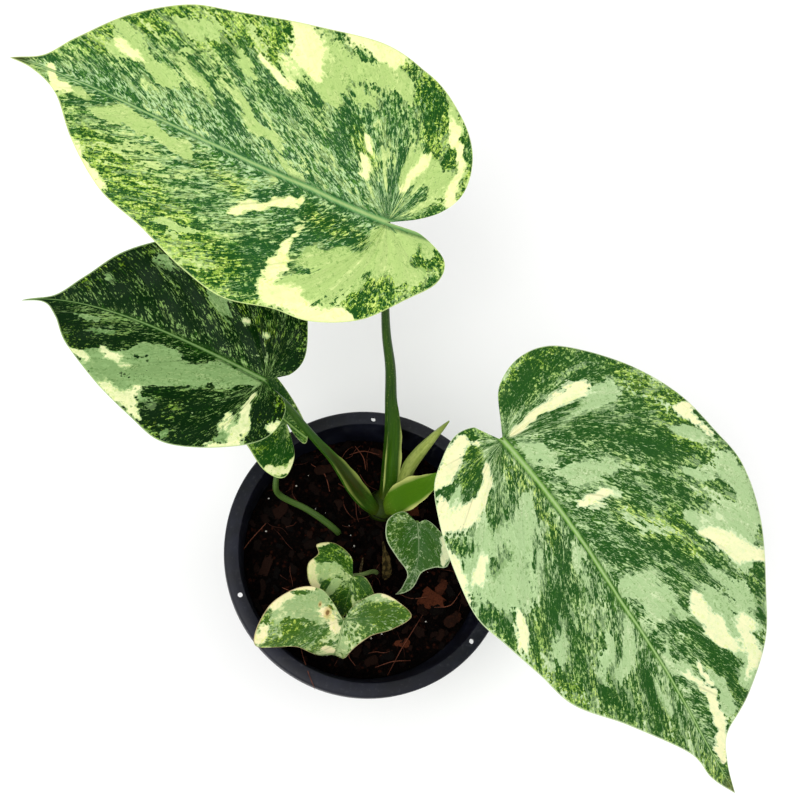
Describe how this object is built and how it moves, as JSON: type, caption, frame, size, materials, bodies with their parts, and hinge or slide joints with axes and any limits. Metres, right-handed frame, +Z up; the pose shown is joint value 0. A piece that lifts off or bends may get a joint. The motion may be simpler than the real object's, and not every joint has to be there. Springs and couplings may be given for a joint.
{
  "type": "potted plant",
  "caption": "Young variegated potted plant with entire heart-shaped leaves on arching stalks, in a round black plastic nursery pot of soil.",
  "frame": {"origin": "middle of the pot's underside, on the surface it stands on", "axes": "+Z up along the pot's axis; +X towards the largest leaf's side, +Y towards the tallest leaf"},
  "size_m": [0.4871, 0.4362, 0.3581],
  "materials": {
    "black_plastic": "satin",
    "potting_mix": "matte",
    "stem_green": "satin",
    "new_leaf_green": "satin",
    "withered_sheath": "matte",
    "variegated_leaf": "satin"
  },
  "bodies": {
    "root": {"pot": "black_plastic", "soil": "potting_mix", "crown": "stem_green", "dry_sheath": "withered_sheath", "rolled_leaf": "new_leaf_green", "tall_stalk": "stem_green", "tall_blade": "variegated_leaf", "left_stalk": "stem_green", "left_blade": "variegated_leaf", "right_stalk": "stem_green", "right_blade": "variegated_leaf", "tucked_stalk": "stem_green", "tucked_blade": "variegated_leaf", "front_stalk": "stem_green", "front_blade": "variegated_leaf", "fan_stalk": "stem_green", "fan_blade": "variegated_leaf", "tailed_stalk": "stem_green", "tailed_blade": "variegated_leaf"}
  },
  "joints": []
}
